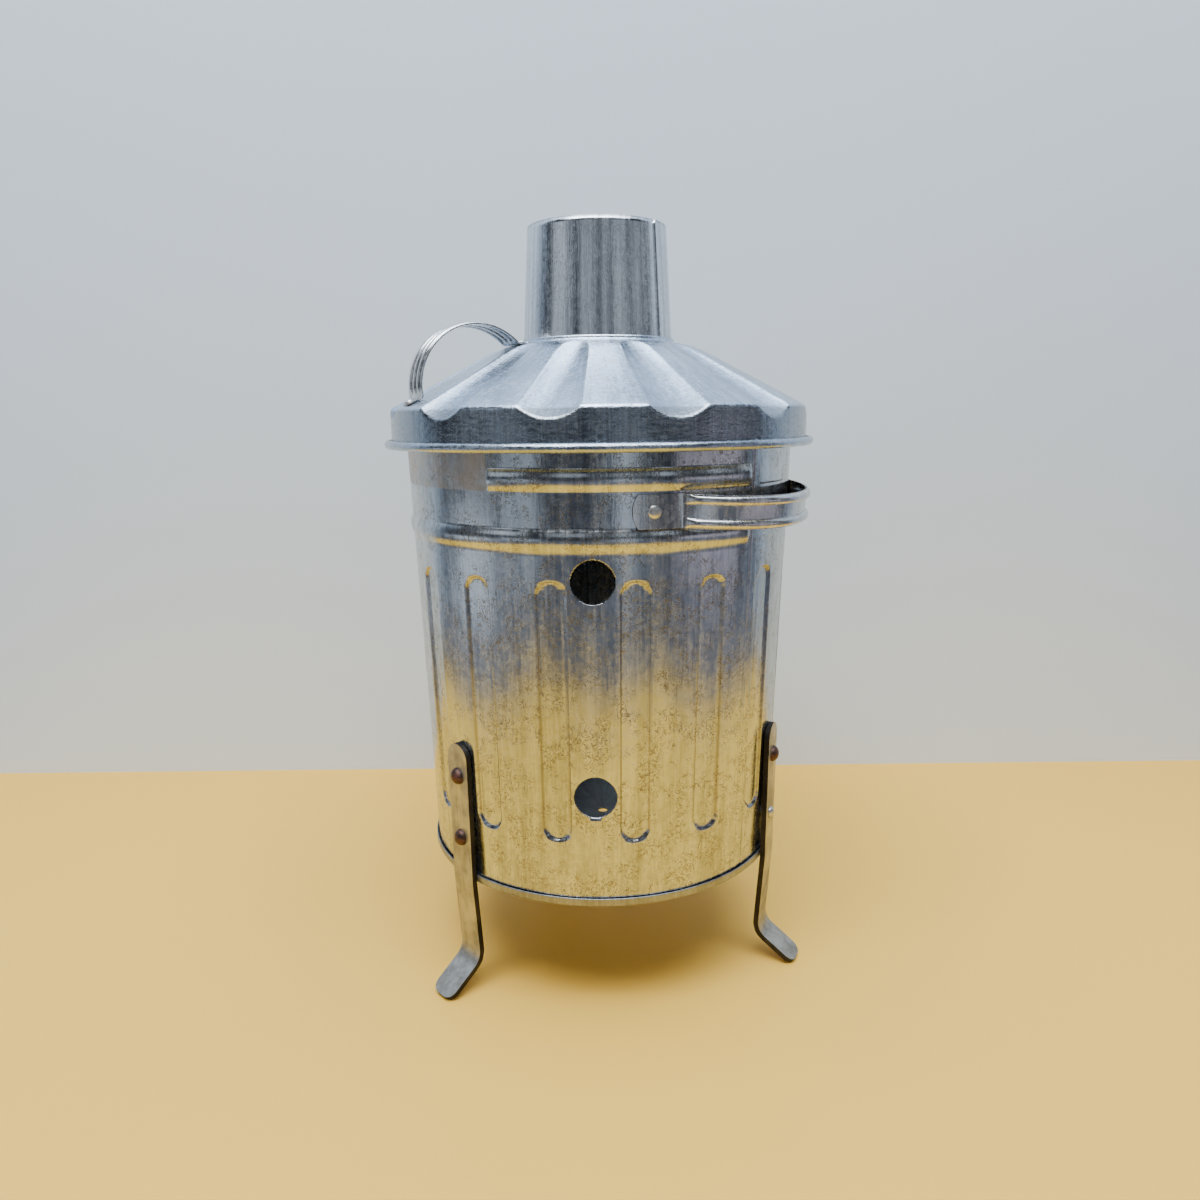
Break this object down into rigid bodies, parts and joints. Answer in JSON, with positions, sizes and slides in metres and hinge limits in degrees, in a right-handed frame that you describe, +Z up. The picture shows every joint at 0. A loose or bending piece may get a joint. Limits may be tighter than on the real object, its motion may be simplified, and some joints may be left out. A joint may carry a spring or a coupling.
{
  "type": "garden incinerator bin",
  "caption": "Galvanised smoker bin: fluted tapered drum on strap legs, with arched side handles, air holes and a lift-off conical lid carrying a short chimney.",
  "frame": {"origin": "on the floor under the axis of the bin, the height at which the feet stand", "axes": "+Z up along the bin's axis; the front, with the air holes between the two visible legs, faces -Y"},
  "size_m": [0.2916, 0.2916, 0.5014],
  "materials": {
    "galvanised_wall": "shiny galvanised sheet with faint spangle",
    "galvanised_lid": "shiny galvanised sheet with faint spangle",
    "galvanised_base": "galvanised sheet",
    "handle_strap": "pressed galvanised strap",
    "leg_strap": "dull grey dip-galvanised strap",
    "steel_wire": "drawn wire",
    "rusty_rivet": "dark brown, slightly rusty",
    "zinc_rivet": "bright zinc"
  },
  "bodies": {
    "bin": {"bin_shell": "galvanised_wall", "bin_rim_wire": "steel_wire", "base_pan": "galvanised_base", "leg_front_left": "leg_strap", "leg_front_left_rivet_upper": "rusty_rivet", "leg_front_left_rivet_lower": "rusty_rivet", "leg_right": "leg_strap", "leg_right_rivet_upper": "rusty_rivet", "leg_right_rivet_lower": "zinc_rivet", "leg_rear": "leg_strap", "leg_rear_rivet_upper": "rusty_rivet", "leg_rear_rivet_lower": "rusty_rivet", "side_handle_right": "handle_strap", "side_handle_right_rivet_near": "zinc_rivet", "side_handle_right_rivet_far": "zinc_rivet", "side_handle_left": "handle_strap", "side_handle_left_rivet_near": "zinc_rivet", "side_handle_left_rivet_far": "zinc_rivet"},
    "lid": {"lid_shell": "galvanised_lid", "lid_rim_wire": "steel_wire", "chimney": "galvanised_lid", "lid_handle": "handle_strap", "lid_handle_rivet_inner": "zinc_rivet", "lid_handle_rivet_outer": "zinc_rivet"}
  },
  "joints": [
    {"name": "lid_lift", "type": "slide", "parent": "bin", "child": "lid", "axis": [0, 0, 1], "range_m": [0, 0.15]}
  ]
}
